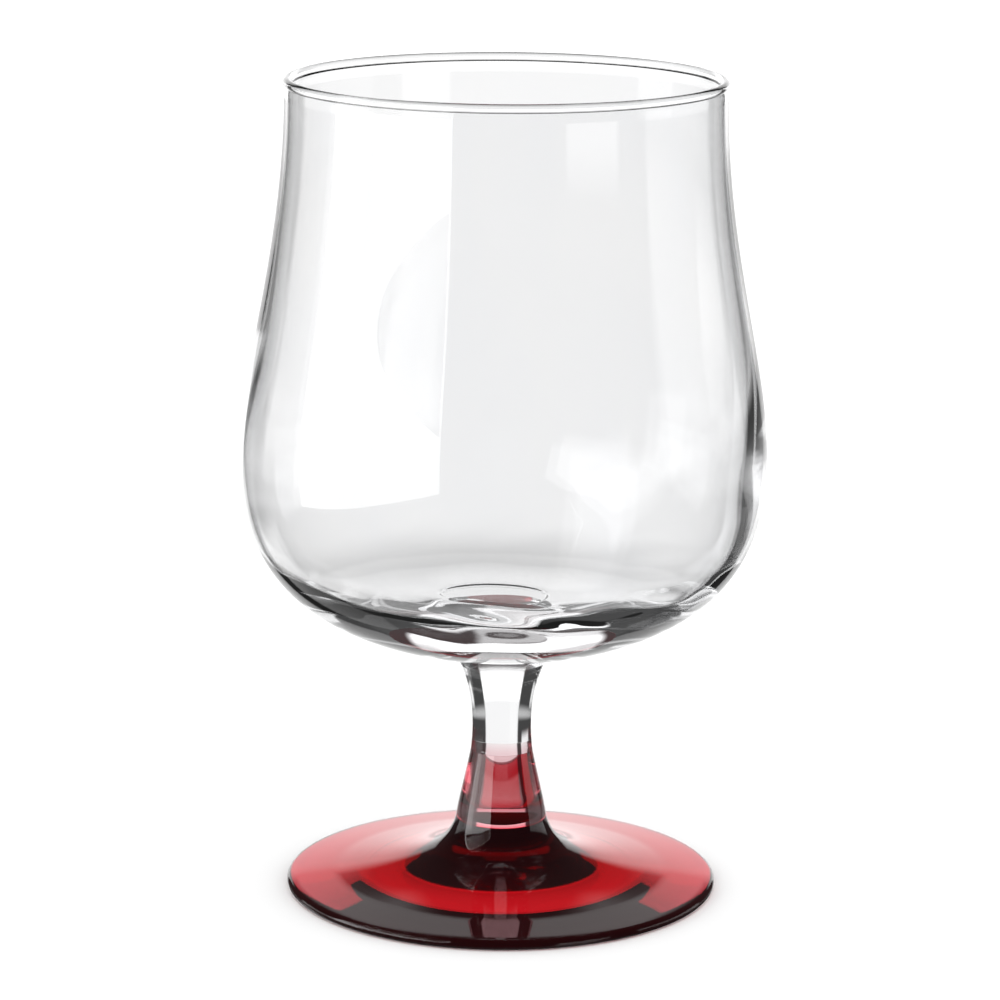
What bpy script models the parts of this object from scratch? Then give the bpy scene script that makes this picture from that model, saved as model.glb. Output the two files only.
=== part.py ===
"""A stout wine goblet, turned about +Z and standing on the floor at z = 0.

Three pieces of glass, each its own solid: the blown clear bowl with its heavy base, the pressed
clear stem under it, and the red foot that runs up into the lower stem. Lengths are in metres.
"""

import math

import bpy
import numpy as np

MM = 0.001

# Driving dimensions
HEIGHT = 150.0 * MM  # floor to the top of the rim
RIM_RADIUS = 39.8 * MM  # outside of the rim bead
BELLY_RADIUS = 47.75 * MM  # widest part of the bowl
BELLY_HEIGHT = 81.6 * MM  # where the bowl is widest
BASE_HEIGHT = 45.1 * MM  # underside of the bowl at its joint with the stem
WAIST_RADIUS = 5.45 * MM  # slimmest part of the stem
WAIST_HEIGHT = 30.4 * MM
FOOT_RADIUS = 39.7 * MM
JOINT_GAP = 0.3 * MM  # clearance that the model keeps where two pieces of glass are fused

# Rim bead and wall
BEAD_RADIUS = 0.85 * MM
BEAD_PROUD = 0.25 * MM  # how far the bead stands out from the wall under it
RIM_WALL = 1.0 * MM
WALL_RADIUS = RIM_RADIUS - BEAD_PROUD
NECK_HEIGHT = HEIGHT - 2.6 * BEAD_RADIUS  # where the wall leaves the bead
NECK_LENGTH = 29.0 * MM  # how far down the wall stays near upright
NECK_SPREAD = 0.2 * MM  # how far it spreads on that stretch
SHOULDER_LENGTH = 16.7 * MM  # near-upright stretch above the belly
HEEL_LENGTH = 15.9 * MM  # near-upright stretch below the belly
UNDERSIDE_REACH = 33.6 * MM  # how far out the underside stays near level
UNDERSIDE_RISE = 4.7 * MM  # how much it rises on that stretch

# Inside of the bowl
INNER_RIM_RADIUS = WALL_RADIUS - RIM_WALL
INNER_BELLY_RADIUS = BELLY_RADIUS - 2.0 * MM
INNER_BELLY_HEIGHT = 88.0 * MM
INNER_SHOULDER_LENGTH = 17.0 * MM
INNER_HEEL_LENGTH = 16.0 * MM
FLOOR_HEIGHT = 55.2 * MM  # where the inner floor meets the dimple
FLOOR_REACH = 31.4 * MM  # how far out the floor stays near level
FLOOR_RISE = 1.8 * MM
DIMPLE_RADIUS = 10.6 * MM
DIMPLE_DEPTH = 0.5 * MM

# Clear stem
FLARE_RADIUS = 9.4 * MM  # top of the stem, against the bowl
FLARE_DROP = 3.2 * MM
FLARE_TUCK = 2.2 * MM
WAIST_LENGTH = 6.8 * MM  # near-parallel stretch above the waist

# Fused seam of clear and red glass: a dome of clear glass that sinks into the red
SEAM_RADIUS = 5.7 * MM
SEAM_HEIGHT = 25.9 * MM  # where the seam meets the outside of the stem
SEAM_SAG = 3.2 * MM
SEAM_BALL = (SEAM_RADIUS**2 + SEAM_SAG**2) / (2 * SEAM_SAG)  # radius of the dome

# Foot
SHANK_RADIUS = 8.3 * MM  # red stem where the fillet begins
SHANK_HEIGHT = 13.5 * MM
DISH_REACH = 15.4 * MM  # how far in from the flange the top stays near level
DISH_RISE = 1.9 * MM  # how much it rises on that stretch
FLANGE_RADIUS = 30.6 * MM  # the flat outer flange begins here, above the edge of the hollow
FLANGE_HEIGHT = 2.9 * MM
EDGE_RADIUS = 1.0 * MM  # rounding of the foot's outer edge, half its thickness there
HOLLOW_DEPTH = 1.6 * MM
HOLLOW_BEVEL = 1.2 * MM

STEPS = {"bowl": 48, "upper_stem": 32, "foot": 48}  # sides of each turned piece

GLASS = {
    "clear_glass": {"color": (0.93, 0.94, 0.95, 1.0), "roughness": 0.02, "transmission": 0.95},
    "red_glass": {"color": (0.55, 0.01, 0.015, 1.0), "roughness": 0.03, "transmission": 0.85},
}


def bezier(start, start_pull, end_pull, end, count):
    """Points of a cubic curve, as rows of (radius, height). A pull is a handle, counted from its end."""
    t = np.linspace(0.0, 1.0, count)[:, None]
    start, end = np.array(start), np.array(end)
    corners = (start, start + start_pull, end + end_pull, end)
    weights = ((1 - t) ** 3, 3 * (1 - t) ** 2 * t, 3 * (1 - t) * t**2, t**3)
    return sum(weight * corner for weight, corner in zip(weights, corners))


def arc(center, radius, start, end, count):
    """Points of a circular arc between two angles in degrees, counted from +radius towards up."""
    angle = np.radians(np.linspace(start, end, count))
    return np.array(center) + radius * np.column_stack([np.cos(angle), np.sin(angle)])


def joined(*runs):
    """One profile from runs in order, with a point that two runs share kept once."""
    rows = [runs[0]]
    for run in runs[1:]:
        shared = np.allclose(rows[-1][-1], run[0], atol=1e-7)
        rows.append(run[1:] if shared else run)
    return np.vstack(rows)


def seam_dome(drop, count):
    """The common surface of clear and red glass, lowered by drop, from the axis out to the side."""
    half_angle = math.degrees(math.asin(SEAM_RADIUS / SEAM_BALL))
    center = (0.0, SEAM_HEIGHT - SEAM_SAG + SEAM_BALL - drop)
    return arc(center, SEAM_BALL, -90.0, -90.0 + half_angle, count)


def bowl_inside():
    """From the middle of the dimple, over the inner floor, and up the inner wall to the bead."""
    dimple = bezier(
        (0.0, FLOOR_HEIGHT - DIMPLE_DEPTH),
        (DIMPLE_RADIUS / 2, 0.0),
        (-DIMPLE_RADIUS / 5, -DIMPLE_DEPTH / 3),
        (DIMPLE_RADIUS, FLOOR_HEIGHT),
        5,
    )
    floor = bezier(
        (DIMPLE_RADIUS, FLOOR_HEIGHT),
        (FLOOR_REACH, FLOOR_RISE),
        (0.0, -INNER_HEEL_LENGTH),
        (INNER_BELLY_RADIUS, INNER_BELLY_HEIGHT),
        13,
    )
    wall = bezier(
        (INNER_BELLY_RADIUS, INNER_BELLY_HEIGHT),
        (0.0, INNER_SHOULDER_LENGTH),
        (0.0, -NECK_LENGTH),
        (INNER_RIM_RADIUS, NECK_HEIGHT),
        9,
    )
    return joined(dimple, floor, wall)


def bowl_outside():
    """From the bead, down the outer wall to the belly, and in under the bowl to its joint."""
    wall = bezier(
        (WALL_RADIUS, NECK_HEIGHT),
        (NECK_SPREAD, -NECK_LENGTH),
        (0.0, SHOULDER_LENGTH),
        (BELLY_RADIUS, BELLY_HEIGHT),
        11,
    )
    underside = bezier(
        (BELLY_RADIUS, BELLY_HEIGHT),
        (0.0, -HEEL_LENGTH),
        (UNDERSIDE_REACH, UNDERSIDE_RISE),
        (FLARE_RADIUS, BASE_HEIGHT),
        14,
    )
    return joined(wall, underside, np.array([(0.0, BASE_HEIGHT)]))


def bowl_profile():
    """The inside from the axis up, the rim bead, and the outside down to the axis."""
    bead_center = (RIM_RADIUS - BEAD_RADIUS, HEIGHT - BEAD_RADIUS)
    bead = arc(bead_center, BEAD_RADIUS, 210.0, -60.0, 10)
    return joined(bowl_inside(), bead, bowl_outside())


def upper_stem_profile():
    """From the flat top under the bowl, down the flare and the waist, to the dome of the seam."""
    top = BASE_HEIGHT - JOINT_GAP
    flare = bezier(
        (FLARE_RADIUS, top),
        (-FLARE_TUCK, -FLARE_DROP),
        (0.0, WAIST_LENGTH),
        (WAIST_RADIUS, WAIST_HEIGHT),
        10,
    )
    swell = SEAM_RADIUS - WAIST_RADIUS
    lower = bezier(
        (WAIST_RADIUS, WAIST_HEIGHT),
        (0.0, -(WAIST_HEIGHT - SEAM_HEIGHT) / 3),
        (-0.6 * swell, (WAIST_HEIGHT - SEAM_HEIGHT) / 3),
        (SEAM_RADIUS, SEAM_HEIGHT),
        4,
    )
    dome = seam_dome(0.0, 6)[::-1]
    return joined(np.array([(0.0, top)]), flare, lower, dome)


def foot_profile():
    """From the seam's cup, down the red stem, over the dished top and the edge, to the hollow below."""
    cup = seam_dome(JOINT_GAP, 6)
    spread = SHANK_RADIUS - SEAM_RADIUS
    drop = SEAM_HEIGHT - JOINT_GAP - SHANK_HEIGHT
    shank = bezier(
        (SEAM_RADIUS, SEAM_HEIGHT - JOINT_GAP),
        (spread / 3, -0.37 * drop),
        (-spread / 5, 0.26 * drop),
        (SHANK_RADIUS, SHANK_HEIGHT),
        8,
    )
    fillet = bezier(
        (SHANK_RADIUS, SHANK_HEIGHT),
        (0.12 * SHANK_RADIUS, -0.43 * SHANK_HEIGHT),
        (-DISH_REACH, DISH_RISE),
        (FLANGE_RADIUS, FLANGE_HEIGHT),
        12,
    )
    edge = arc((FOOT_RADIUS - EDGE_RADIUS, EDGE_RADIUS), EDGE_RADIUS, 84.0, -90.0, 9)
    hollow = bezier(
        (FLANGE_RADIUS, 0.0),
        (-HOLLOW_BEVEL, HOLLOW_DEPTH / 2),
        (FLANGE_RADIUS / 2, 0.0),
        (0.0, HOLLOW_DEPTH),
        9,
    )
    return joined(cup, shank, fillet, edge, hollow)


def glass(name):
    """A Principled material of one of the two glasses."""
    look = GLASS[name]
    material = bpy.data.materials.new(name)
    material.use_nodes = True
    shader = material.node_tree.nodes["Principled BSDF"]
    shader.inputs["Base Color"].default_value = look["color"]
    shader.inputs["Roughness"].default_value = look["roughness"]
    shader.inputs["Metallic"].default_value = 0.0
    shader.inputs["Transmission Weight"].default_value = look["transmission"]
    material.diffuse_color = look["color"]
    return material


def turned(name, profile, material, collection):
    """An object that turns a profile of (radius, height) rows round the Z axis."""
    points = [(radius, 0.0, height) for radius, height in profile]
    edges = [(i, i + 1) for i in range(len(points) - 1)]
    mesh = bpy.data.meshes.new(name)
    mesh.from_pydata(points, edges, [])
    mesh.materials.append(material)
    piece = bpy.data.objects.new(name, mesh)
    collection.objects.link(piece)

    screw = piece.modifiers.new("Turn", "SCREW")
    screw.axis = "Z"
    screw.steps = STEPS[name]
    screw.render_steps = STEPS[name]
    screw.use_merge_vertices = True
    screw.merge_threshold = 0.02 * MM
    screw.use_smooth_shade = True


def main():
    for thing in list(bpy.data.objects):
        bpy.data.objects.remove(thing, do_unlink=True)
    collection = bpy.data.collections.new("wine_glass")
    bpy.context.scene.collection.children.link(collection)

    clear_glass = glass("clear_glass")
    red_glass = glass("red_glass")
    turned("bowl", bowl_profile(), clear_glass, collection)
    turned("upper_stem", upper_stem_profile(), clear_glass, collection)
    turned("foot", foot_profile(), red_glass, collection)


main()
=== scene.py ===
import math
import bpy
import numpy as np
from mathutils import Matrix


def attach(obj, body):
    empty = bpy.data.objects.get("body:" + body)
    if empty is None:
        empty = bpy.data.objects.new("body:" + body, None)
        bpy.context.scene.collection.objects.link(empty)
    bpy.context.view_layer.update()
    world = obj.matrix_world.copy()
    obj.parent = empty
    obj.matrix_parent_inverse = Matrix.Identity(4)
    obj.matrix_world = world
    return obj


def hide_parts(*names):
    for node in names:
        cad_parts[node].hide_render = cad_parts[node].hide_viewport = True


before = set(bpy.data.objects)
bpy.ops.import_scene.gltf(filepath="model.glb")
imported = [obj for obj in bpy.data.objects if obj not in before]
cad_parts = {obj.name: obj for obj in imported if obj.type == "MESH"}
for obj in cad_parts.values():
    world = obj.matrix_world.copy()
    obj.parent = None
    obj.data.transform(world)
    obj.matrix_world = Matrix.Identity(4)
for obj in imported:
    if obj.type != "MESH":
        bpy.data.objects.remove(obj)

scene = bpy.context.scene
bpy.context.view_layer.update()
mm = 0.001
joinGap = 0.03  # mm left open between two fused pieces
sharpFrom = 32  # degrees between two faces from which their edge looks sharp


# A cubic curve in the (radius, height) plane from start to end. The pulls are the offsets of its two
# handles from their own ends: p(t) = (1-t)^3 a + 3(1-t)^2 t b + 3(1-t) t^2 c + t^3 d.
def curve(start, startPull, endPull, end, count):
    a, d = np.array(start, float), np.array(end, float)
    b, c = a + np.array(startPull, float), d + np.array(endPull, float)
    t = np.linspace(0, 1, count)[:, None]
    return (1 - t) ** 3 * a + 3 * (1 - t) ** 2 * t * b + 3 * (1 - t) * t ** 2 * c + t ** 3 * d


# Part of a circle in the same plane, between two angles in degrees.
def arc(centre, radius, fromAngle, toAngle, count):
    angle = np.radians(np.linspace(fromAngle, toAngle, count))
    return np.column_stack((centre[0] + radius * np.cos(angle), centre[1] + radius * np.sin(angle)))


# The outside of the shank, from the seam ring down to where the foot spreads.
def shankLine(f):
    drop = f["seamHeight"] - f["shankHeight"]
    spread = f["shankRadius"] - f["seamRadius"]
    return curve((f["seamRadius"], f["seamHeight"]), (spread / 3, -0.37 * drop),
                 (-spread / 5, 0.26 * drop), (f["shankRadius"], f["shankHeight"]), 40)


# The seam between clear core and red glass, from the axis to its ring outside. The core has a flat end
# and then runs up just inside the shank: radius = shank radius - skin * min(1, depth below ring / skinFade).
# gap draws the line inward and upward, so that core and cup do not touch.
def seamLine(f, gap):
    side = shankLine(f)[::-1]
    side = side[side[:, 1] > f["coreBottom"] + f["coreCorner"]]
    depth = f["seamHeight"] - side[:, 1]
    side[:, 0] -= f["skin"] * np.clip(depth / f["skinFade"], 0, 1) + gap * np.clip(depth, 0, 1)
    flat = np.linspace(0, f["coreRadius"] - gap, f["coreSteps"] + 1)
    corner = curve((flat[-1], f["coreBottom"]), (0.3, 0), (0, -0.5), side[0], 6)
    line = joined(np.column_stack((flat, np.full(len(flat), f["coreBottom"]))), corner, side)
    return line + (0, gap)


# Profile curves laid end to end, without the point that two neighbours share.
def joined(*curves):
    return np.vstack([curves[0]] + [part[1:] for part in curves[1:]])


# The profile turned about the upright axis: x = r cos(angle), y = r sin(angle), z = height. The first
# and last profile points lie on the axis and become single poles. bend moves the points afterwards.
# joinSpans are the spans of the profile that are the hidden join with a neighbour.
def turned(name, profile, sides, joinSpans, bend=None):
    inner = profile[1:-1]
    angle = np.arange(sides) * (2 * math.pi / sides)
    radius, around = np.meshgrid(inner[:, 0], angle, indexing="ij")
    height = np.repeat(inner[:, 1][:, None], sides, axis=1)
    points = np.stack((radius * np.cos(around), radius * np.sin(around), height), axis=-1).reshape(-1, 3)
    poles = np.array([[0, 0, profile[0, 1]], [0, 0, profile[-1, 1]]])
    points = np.vstack((points, poles))
    span = np.concatenate((np.repeat(np.arange(len(inner)), sides), [-1, len(inner)]))
    if bend is not None:
        points = bend(points, span)
    rows = len(inner)
    row, column = np.meshgrid(np.arange(rows - 1), np.arange(sides), indexing="ij")
    after = (column + 1) % sides
    quads = np.stack((row * sides + column, (row + 1) * sides + column,
                      (row + 1) * sides + after, row * sides + after), axis=-1).reshape(-1, 4)
    ring = np.arange(sides)
    nextRing = (ring + 1) % sides
    first, last = rows * sides, rows * sides + 1
    startFan = np.stack((np.full(sides, first), ring, nextRing), axis=-1)
    endFan = np.stack((np.full(sides, last), (rows - 1) * sides + nextRing,
                       (rows - 1) * sides + ring), axis=-1)
    spanOfFaces = np.concatenate((np.repeat(np.arange(1, rows), sides),
                                  np.zeros(sides, int), np.full(sides, rows, int)))
    return buildMesh(name, points * mm, quads, np.vstack((startFan, endFan)),
                     np.isin(spanOfFaces, joinSpans))


# One mesh from whole arrays: four-sided faces first, then three-sided ones. It is inside out when the sum
# of a . (b x c) over its triangles, which is six times its volume, comes out negative, and is then turned.
# inJoin says for each face whether it is part of a join.
def buildMesh(name, points, quads, triangles, inJoin):
    halves = np.vstack((quads[:, [0, 1, 2]], quads[:, [0, 2, 3]], triangles))
    a, b, c = (points[halves[:, i]] for i in range(3))
    if np.einsum("ij,ij->i", a, np.cross(b, c)).sum() < 0:
        quads, triangles = quads[:, ::-1], triangles[:, ::-1]
    corners = np.concatenate((quads.ravel(), triangles.ravel())).astype(np.int32)
    sizes = np.concatenate((np.full(len(quads), 4), np.full(len(triangles), 3))).astype(np.int32)
    starts = np.concatenate(([0], np.cumsum(sizes)[:-1])).astype(np.int32)
    mesh = bpy.data.meshes.new(name)
    mesh.vertices.add(len(points))
    mesh.vertices.foreach_set("co", np.ascontiguousarray(points, np.float32).ravel())
    mesh.loops.add(len(corners))
    mesh.loops.foreach_set("vertex_index", corners)
    mesh.polygons.add(len(sizes))
    mesh.polygons.foreach_set("loop_start", starts)
    mesh.update(calc_edges=True)
    mesh.validate()
    joins = mesh.attributes.new("join", "FLOAT", "FACE")
    joins.data.foreach_set("value", inJoin.astype(np.float32))
    mesh.polygons.foreach_set("use_smooth", np.ones(len(sizes), bool))
    mesh.set_sharp_from_angle(angle=math.radians(sharpFrom))
    piece = bpy.data.objects.new(name, mesh)
    scene.collection.objects.link(piece)
    return piece


# An output socket of a node, so that shader maths is written as ordinary sums.
class Wire:
    def __init__(self, tree, socket=None):
        self.tree = tree
        self.socket = socket

    # Any node: its type, its settings, then the values or wires of its inputs, by name or number.
    def node(self, kind, settings=None, inputs=None, output=0):
        made = self.tree.nodes.new(kind)
        for name, value in (settings or {}).items():
            setattr(made, name, value)
        for name, value in (inputs or {}).items():
            if isinstance(value, Wire):
                self.tree.links.new(value.socket, made.inputs[name])
            else:
                made.inputs[name].default_value = value
        return Wire(self.tree, made.outputs[output] if made.outputs else None)

    # A sum of any kind. On a wire it comes first, and on a bare start only the values given count.
    def math(self, operation, *values):
        given = values if self.socket is None else (self,) + values
        return self.node("ShaderNodeMath", {"operation": operation}, dict(enumerate(given)))

    def __add__(self, other):
        return self.math("ADD", other)

    def __radd__(self, other):
        return self.math("ADD", other)

    def __sub__(self, other):
        return self.math("SUBTRACT", other)

    def __rsub__(self, other):
        return Wire(self.tree).math("SUBTRACT", other, self)

    def __mul__(self, other):
        return self.math("MULTIPLY", other)

    def __rmul__(self, other):
        return self.math("MULTIPLY", other)

    # This vector with each of its three parts times a factor.
    def stretched(self, factors):
        return self.node("ShaderNodeVectorMath", {"operation": "MULTIPLY"}, {0: self, 1: factors})

    # From 0 where this is at low to 1 where it is at high, with soft ends.
    def ramp(self, low, high):
        return self.node("ShaderNodeMapRange", {"interpolation_type": "SMOOTHSTEP"},
                         {"Value": self, "From Min": low, "From Max": high})

    # Soft random blotches, with this vector as the place.
    def noise(self, scale, detail=2.0, distortion=0.0):
        return self.node("ShaderNodeTexNoise", None,
                         {"Vector": self, "Scale": scale, "Detail": detail, "Distortion": distortion})

    # One colour where this is 0 and another where it is 1.
    def blend(self, low, high):
        return self.node("ShaderNodeMix", {"data_type": "RGBA"}, {0: self, 6: low, 7: high}, 2)


# A new material and a wire to start its shader from.
def newShader(name):
    material = bpy.data.materials.new(name)
    material.use_nodes = True
    material.node_tree.nodes.clear()
    return material, Wire(material.node_tree)


# Solid glass. The surface bends light, the colour is all inside it, and the faces of a join with a
# neighbouring piece let light straight through, as fused glass does.
def glassMaterial(name, look):
    material, start = newShader(name)
    place = start.node("ShaderNodeTexCoord", None, None, "Object")
    cords = place.stretched((1.0, 1.0, look["cordStretch"])).noise(look["cordScale"], 2.0, 0.6)
    pull = place.noise(look["pullScale"], 1.0)
    height = cords * look["cordHeight"] + pull * look["pullHeight"]
    normal = start.node("ShaderNodeBump", None,
                        {"Strength": 1.0, "Distance": 1.0, "Height": height})
    tint = (cords * 0.6 + pull * 0.4).ramp(0.3, 0.7).blend(look["tintLow"], look["tintHigh"])
    join = start.node("ShaderNodeAttribute", {"attribute_name": "join"}, None, "Fac")
    body = start.node("ShaderNodeBsdfPrincipled", None, {
        "Base Color": tint,
        "Roughness": 0.0,
        "Alpha": 1.0 - join,
        "Normal": normal,
        "IOR": look["ior"],
        "Transmission Weight": 1.0,
        # The emission is a painted glow: light laid on the glass's surface, which is no lamp
        "Emission Color": look["paintedGlowColour"],
        "Emission Strength": look["paintedGlowStrength"],
    })
    inside = start.node("ShaderNodeVolumeAbsorption", None,
                        {"Color": look["depthColour"], "Density": look["depthDensity"]})
    start.node("ShaderNodeOutputMaterial", None, {"Surface": body, "Volume": inside})
    return material


clearLook = {
    "ior": 1.5,
    "depthColour": (0.50, 0.52, 0.60, 1.0),  # what the glass lets through, with the density below
    "depthDensity": 1.2,
    "paintedGlowColour": (1.0, 1.0, 1.0, 1.0),  # colour of a painted glow that the surface gives off though it is no lamp
    "paintedGlowStrength": 0.0,
    "tintLow": (0.985, 0.988, 0.995, 1.0),
    "tintHigh": (1.0, 1.0, 1.0, 1.0),
    "cordScale": 55.0,  # flow lines left in the glass by the drawing, per metre
    "cordStretch": 0.35,
    "cordHeight": 0.000012,
    "pullScale": 28.0,
    "pullHeight": 0.00003,
}

redLook = dict(clearLook)
redLook.update({
    "depthColour": (0.90, 0.05, 0.18, 1.0),
    "depthDensity": 1150.0,
    # a faint red painted glow on the red glass, to lift its dark edges
    "paintedGlowColour": (1.0, 0.04, 0.12, 1.0),
    "paintedGlowStrength": 0.006,
    "tintLow": (1.0, 0.86, 0.86, 1.0),
    "tintHigh": (1.0, 0.92, 0.92, 1.0),
})

clearGlass = glassMaterial("clear glass", clearLook)
redGlass = glassMaterial("red glass", redLook)
print("materials ready")


# Lengths in mm, heights from the table.
bowl = {
    "height": 150.0,
    "rimRadius": 39.8,
    "bellyRadius": 47.75,
    "bellyHeight": 81.6,
    "beadRadius": 0.85,  # the rounded lip
    "beadProud": 0.25,
    "neckLength": 29.0,
    "neckSpread": 0.2,
    "shoulderLength": 16.7,
    "heelLength": 15.9,
    "undersideReach": 33.6,
    "undersideRise": 4.7,
    "innerRimRadius": 38.55,
    "innerBellyRadius": 45.6,
    "innerBellyHeight": 82.2,
    "innerShoulderLength": 14.9,
    "innerHeelLength": 24.5,
    "floorHeight": 55.2,
    "floorReach": 26.0,
    "floorRise": -0.7,
    "dimpleRadius": 10.6,  # the hollow in the middle of the floor
    "dimpleDepth": 0.55,
    "dimpleRim": 1.5,
    "hollowShift": 1.1,  # how far the hollow sits to the left in its lower half
    "shiftHeights": (112.0, 74.0),  # from where, going down, to where it is whole
    "waveHeight": 0.05,  # unevenness of the blown inside
    "waveHeights": (55.5, 61.5, 134.0, 146.0),  # it rises between the first two and fades between the others
    "waves": [(2, 0.045, 0.6, 1.0), (3, -0.08, 1.9, 0.6), (5, 0.13, 0.0, 0.35)],  # see ripples
    "marbling": 0.12,  # the same for the thick heel
    "marblingHeights": (55.3, 56.8, 60.0, 66.0),
    "marbles": [(5, 0.9, 0.0, 1.0), (9, -0.6, 1.0, 0.7), (14, 1.3, 2.0, 0.5)],
    "marblingSide": (0.6, -0.6),  # how much stronger it is on one side, and that side's angle
    "baseHeight": 45.1,
    "baseRadius": 9.4,
    "sides": 288,
}


# A straight ramp from 0 at one height to 1 at another.
def rise(height, start, full):
    return np.clip((height - start) / (full - start), 0, 1)


# 1 between the two middle heights of four, and 0 outside the outer two.
def band(height, heights):
    return rise(height, heights[0], heights[1]) * rise(height, heights[3], heights[2])


# Ripples round the axis: the sum of size * sin(count * angle + climb * height + start), where each wave
# is its count, climb, start and size.
def ripples(angle, height, waves):
    count, climb, start, size = np.array(waves).T[:, :, None]
    return (size * np.sin(count * angle + climb * height + start)).sum(axis=0)


# The bowl's outline, from the middle of its floor up the inside, over the rounded lip, down the outside
# and along the flat base back to the axis. All of it is cubic curves and one part of a circle.
def makeBowl(b):
    neckHeight = b["height"] - 2.6 * b["beadRadius"]
    wallRadius = b["rimRadius"] - b["beadProud"]
    well = curve((0, b["floorHeight"] - b["dimpleDepth"]), (b["dimpleRadius"] / 2, 0), (-1, 0),
                 (b["dimpleRadius"] - b["dimpleRim"], b["floorHeight"] - b["dimpleDepth"]), 12)
    rim = curve(well[-1], (b["dimpleRim"] / 2, 0), (-b["dimpleRim"] / 2, 0),
                (b["dimpleRadius"], b["floorHeight"]), 12)
    dimple = joined(well, rim)
    floor = curve(dimple[-1], (b["floorReach"], b["floorRise"]), (0, -b["innerHeelLength"]),
                  (b["innerBellyRadius"], b["innerBellyHeight"]), 70)
    innerWall = curve(floor[-1], (0, b["innerShoulderLength"]), (0, -b["neckLength"]),
                      (b["innerRimRadius"], neckHeight), 56)
    bead = arc((b["rimRadius"] - b["beadRadius"], b["height"] - b["beadRadius"]), b["beadRadius"],
               210, -60, 25)
    outerWall = curve((wallRadius, neckHeight), (b["neckSpread"], -b["neckLength"]),
                      (0, b["shoulderLength"]), (b["bellyRadius"], b["bellyHeight"]), 64)
    underside = curve(outerWall[-1], (0, -b["heelLength"]), (b["undersideReach"], b["undersideRise"]),
                      (b["baseRadius"], b["baseHeight"]), 60)
    base = np.column_stack((np.linspace(b["baseRadius"], 0, 4), np.full(4, b["baseHeight"])))
    inside = joined(dimple, floor, innerWall)
    outside = np.vstack((bead, outerWall))
    profile = np.vstack((inside, outside, underside[1:], base[1:]))
    insideCount = len(inside)

    # The inside is moved to the left by hollowShift * s(z)^2, where s goes smoothly from 0 to 1 on the way
    # down, and its radius changes by waveHeight * ripples + marbling * ripples, each in its own heights.
    def unevenInside(points, span):
        inner = span < insideCount - 1
        x, y, z = points.T
        angle = np.arctan2(y, x)
        up = rise(z, *b["shiftHeights"])
        share = (up * up * (3 - 2 * up)) ** 2
        extra, side = b["marblingSide"]
        marbling = ripples(angle, z, b["marbles"]) * (1.0 + extra * np.cos(angle - side))
        lift = (b["waveHeight"] * ripples(angle, z, b["waves"]) * band(z, b["waveHeights"])
                + b["marbling"] * marbling * band(z, b["marblingHeights"]))
        swell = np.where(inner, 1 + lift / np.maximum(np.hypot(x, y), 1), 1)
        return np.column_stack((x * swell - np.where(inner, b["hollowShift"] * share, 0), y * swell, z))

    baseSpans = len(profile) - 1 - np.arange(1, len(base))
    return turned("wineBowl", profile, b["sides"], baseSpans, unevenInside)


bowlPiece = makeBowl(bowl)
bowlPiece.data.materials.append(clearGlass)
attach(bowlPiece, "root")
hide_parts("bowl")
print("bowl ready:", len(bowlPiece.data.polygons), "faces")


foot = {
    "seamRadius": 5.7,
    "seamHeight": 25.85,
    "coreBottom": 12.4,  # the clear core goes on down inside the red
    "coreRadius": 7.0,
    "coreCorner": 1.4,  # height of the rounded corner at its end
    "coreSteps": 11,  # steps across its flat end
    "looseRing": 4,  # how many of them, at the outside, are not fused
    "skin": 0.2,  # how thick the red is round the core
    "skinFade": 2.0,  # depth below the seam ring from which the skin is whole
    "shankRadius": 8.3,
    "shankHeight": 13.5,
    "dishReach": 14.5,
    "dishRise": 2.2,
    "flangeRadius": 30.6,
    "flangeHeight": 2.85,
    "footRadius": 39.7,
    "edgeRadius": 1.0,
    "hollowRadius": 24.5,
    "hollowDepth": 2.0,
    "hollowBevel": 1.0,  # the underside is hollow inside the ring it stands on
    "sides": 256,
}


# The spans of the seam that are fused: all but a narrow ring at the edge of the core's flat end.
def fusedSpans(f, count):
    spans = np.arange(count - 1)
    return spans[(spans < f["coreSteps"] - f["looseRing"]) | (spans >= f["coreSteps"])]


# The foot's outline, from the middle of the cup round the core, over its ring, down the shank, out over
# the dish to the rounded edge, and back under the ring that it stands on and the hollow inside it.
def makeFoot(f):
    cup = seamLine(f, 0.0)
    shank = shankLine(f)
    fillet = curve(shank[-1], (0.12 * f["shankRadius"], -0.50 * f["shankHeight"]),
                   (-f["dishReach"], f["dishRise"]), (f["flangeRadius"], f["flangeHeight"]), 56)
    edge = arc((f["footRadius"] - f["edgeRadius"], f["edgeRadius"]), f["edgeRadius"], 84, -90, 20)
    sole = np.column_stack((np.linspace(f["footRadius"] - f["edgeRadius"], f["hollowRadius"], 8)[1:],
                            np.zeros(7)))
    hollow = curve(sole[-1], (-3 * f["hollowBevel"], 0.6 * f["hollowBevel"]),
                   (f["hollowRadius"] / 2, 0), (0, f["hollowDepth"]), 50)
    top = np.column_stack((np.linspace(f["flangeRadius"], edge[0, 0], 8)[1:-1],
                           np.linspace(f["flangeHeight"], edge[0, 1], 8)[1:-1]))
    profile = np.vstack((joined(cup, shank, fillet), top, edge, sole, hollow[1:]))
    return turned("redFoot", profile, f["sides"], fusedSpans(f, len(cup)))


footPiece = makeFoot(foot)
footPiece.data.materials.append(redGlass)
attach(footPiece, "root")
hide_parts("foot")
print("red foot ready:", len(footPiece.data.polygons), "faces")


stem = {
    "flareDrop": 3.2,
    "flareTuck": 2.2,
    "waistRadius": 5.45,
    "waistHeight": 30.4,
    "waistLength": 6.8,
    "sides": 176,
}


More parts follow.
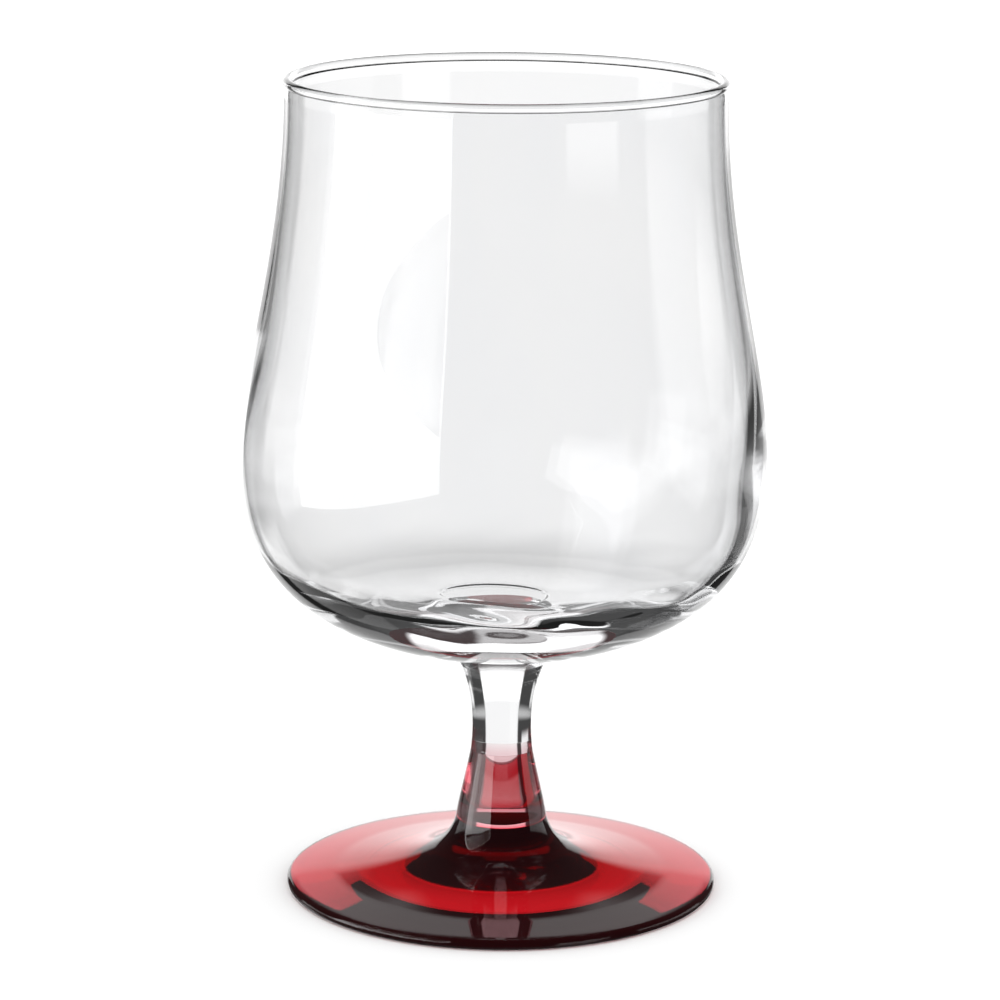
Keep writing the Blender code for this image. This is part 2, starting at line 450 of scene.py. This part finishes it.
# The stem's outline: its flat top, which the bowl's base covers, the flare down to the waist, the lower
# part down to the seam ring, and the core. It starts and ends a join's gap away from its neighbours.
def makeStem(s):
    swell = foot["seamRadius"] - s["waistRadius"]
    third = (s["waistHeight"] - foot["seamHeight"]) / 3
    topRadius, topHeight = bowl["baseRadius"], bowl["baseHeight"] - joinGap
    top = np.column_stack((np.linspace(0, topRadius, 4), np.full(4, topHeight)))
    flare = curve(top[-1], (-s["flareTuck"], -s["flareDrop"]), (0, s["waistLength"]),
                  (s["waistRadius"], s["waistHeight"]), 60)
    lower = curve(flare[-1], (0, -third), (-0.6 * swell, third),
                  (foot["seamRadius"], foot["seamHeight"] + joinGap), 20)
    core = seamLine(foot, joinGap)[::-1]
    profile = joined(top, flare, lower, core)
    topSpans = np.arange(len(top) - 1)
    coreSpans = len(profile) - 2 - fusedSpans(foot, len(core))
    return turned("clearStem", profile, s["sides"], np.concatenate((topSpans, coreSpans)))


stemPiece = makeStem(stem)
stemPiece.data.materials.append(clearGlass)
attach(stemPiece, "root")
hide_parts("upper_stem")
print("clear stem ready:", len(stemPiece.data.polygons), "faces")


stage = {
    "floorColour": (0.90, 0.90, 0.90, 1.0),
    "floorSide": 8.0,
    "floorDrop": 0.00002,  # how far it lies below the foot
    "whiteLevel": 1.45,  # the white that is seen directly and that lights the table
    "paneLevel": 1.02,  # the white panes that the glass shows in its curves
    "darkLevel": 0.06,  # everything between them
    "softboxPlace": (-0.45, -0.435, 0.285),  # metres, powers in watts
    "softboxSize": (0.93, 0.65),
    "softboxPower": 6.5,
    "sheetPlace": (-0.45, -0.435, 0.38),  # the same light as it is seen through the glass
    "sheetSize": (0.93, 0.46),
    "sheetPower": 2.2,
    "sheets": 3,
    "sheetStep": 0.05,  # how much each sheet is larger than the one before
    "sheetApart": 0.01,
}


# A square table, seen by the camera and by the light on it, but not in the glass.
def makeFloor(side):
    half = side / 2
    corners = np.array([[-half, -half, 0], [half, -half, 0], [half, half, 0], [-half, half, 0]])
    mesh = bpy.data.meshes.new("table")
    mesh.from_pydata(corners.tolist(), [], [(0, 1, 2, 3)])
    floor = bpy.data.objects.new("table", mesh)
    scene.collection.objects.link(floor)
    material, start = newShader("matt white table")
    paper = start.node("ShaderNodeBsdfDiffuse", None, {"Color": stage["floorColour"]})
    start.node("ShaderNodeOutputMaterial", None, {"Surface": paper})
    mesh.materials.append(material)
    floor.visible_glossy = False
    floor.visible_transmission = False
    floor.location.z = -stage["floorDrop"]
    return floor


floorPiece = makeFloor(stage["floorSide"])


# A soft light on the left, in front of the glass. The glass's outside mirrors it whole. What is seen of
# it through the glass is weaker and has soft edges: sheets of growing size, one behind the other.
def makeSoftbox(name, place, size, power, through):
    sheet = bpy.data.lights.new(name, "AREA")
    sheet.shape = "RECTANGLE"
    sheet.size, sheet.size_y = size
    sheet.energy = power
    piece = bpy.data.objects.new(name, sheet)
    piece.matrix_world = (Matrix.Translation(place)
                          @ Matrix.Rotation(math.radians(90), 4, "Z")
                          @ Matrix.Rotation(math.radians(-90), 4, "X"))
    scene.collection.objects.link(piece)
    piece.visible_camera = False
    piece.visible_diffuse = False
    piece.visible_glossy = not through
    piece.visible_transmission = through


makeSoftbox("softbox", stage["softboxPlace"], stage["softboxSize"], stage["softboxPower"], False)
for number in range(stage["sheets"]):
    grown = stage["sheetStep"] * (number - 1)
    width, height = (side + grown for side in stage["sheetSize"])
    share = width * height / math.prod(stage["sheetSize"]) / stage["sheets"]  # by area, so all are as bright
    x, y, z = stage["sheetPlace"]
    makeSoftbox(f"softbox seen through the glass {number + 1}", (x - number * stage["sheetApart"], y, z),
                (width, height), stage["sheetPower"] * share, True)
print("lights ready")


# The surroundings. Seen directly, and as light on the table, they are an even white. In the glass they
# are dark with white panes: azimuth of the middle, half width, lowest and highest elevation, level.
# Azimuth 0 is behind the glass, 90 on its left; all in degrees.
panes = [
    (0, 24, -48, 19, 1.0),
    (0, 8, 17, 33, 0.65),
    (62, 40, -13, -8.5, 0.5),
    (-62, 40, -13, -8.5, 0.5),
    (78, 26, -8, 12, 0.6),
    (-78, 26, -8, 12, 0.6),
    (45, 12, -60, -20, 1.0),
    (90, 13, -12.5, 9, 1.0),
    (-135, 14, -50, -3, 1.0),
    (0, 200, -120, -50, 0.25),
]
paneEdge, paneTopEdge = 1.5, 2.5  # half the width of their soft edges

world = bpy.data.worlds.new("white studio")
world.use_nodes = True
world.node_tree.nodes.clear()
start = Wire(world.node_tree)
direction = start.node("ShaderNodeTexCoord", None, None, "Generated")
along = [start.node("ShaderNodeSeparateXYZ", None, {0: direction}, axis) for axis in "XYZ"]
azimuth = start.math("ARCTAN2", 0.0 - along[0], along[1]) * (180 / math.pi)
elevation = start.math("ARCSINE", along[2]) * (180 / math.pi)
seen = elevation * 0.0
for middle, halfWidth, low, high, level in panes:
    aside = (azimuth - middle).math("ABSOLUTE")
    aside = 1.0 - aside.ramp(halfWidth - paneEdge, halfWidth + paneEdge)
    above = elevation.ramp(low - paneEdge, low + paneEdge)
    below = 1.0 - elevation.ramp(high - paneTopEdge, high + paneTopEdge)
    seen = seen.math("MAXIMUM", aside * above * below * level)
fromBelow = elevation.ramp(-42, -19)
horizon = elevation.ramp(-7, -2) * (1.0 - elevation.ramp(2, 20))
seen = seen * (0.6 + 0.4 * fromBelow + 0.7 * horizon)  # darker from far below, brightest near the horizon
inGlass = stage["darkLevel"] + seen * (stage["paneLevel"] - stage["darkLevel"])
path = [start.node("ShaderNodeLightPath", None, None, kind) for kind in ("Is Camera Ray", "Is Diffuse Ray")]
direct = path[0].math("MAXIMUM", path[1])
strength = direct * stage["whiteLevel"] + (1.0 - direct) * inGlass
sky = start.node("ShaderNodeBackground", None, {"Color": (1.0, 1.0, 1.0, 1.0), "Strength": strength})
start.node("ShaderNodeOutputWorld", None, {"Surface": sky})
scene.world = world

view = {
    "place": (0.0, -0.709, 0.2345),
    "lookDown": 12.85,  # degrees
    "roll": 0.42,
    "lens": 143.7,
    "shift": -0.0034,
}

camera = bpy.data.cameras.new("camera")
camera.sensor_width = 36.0
camera.lens = view["lens"]
camera.shift_x = view["shift"]
camera.dof.use_dof = False
camera.clip_start = 0.05
cameraPiece = bpy.data.objects.new("camera", camera)
cameraPiece.matrix_world = (Matrix.Translation(view["place"])
                            @ Matrix.Rotation(math.radians(90 - view["lookDown"]), 4, "X")
                            @ Matrix.Rotation(math.radians(view["roll"]), 4, "Z"))
scene.collection.objects.link(cameraPiece)
scene.camera = cameraPiece

scene.view_settings.view_transform = "Standard"
scene.view_settings.look = "None"
scene.cycles.max_bounces = 32
scene.cycles.transmission_bounces = 32
scene.cycles.glossy_bounces = 16
scene.cycles.transparent_max_bounces = 32
print("stage ready")
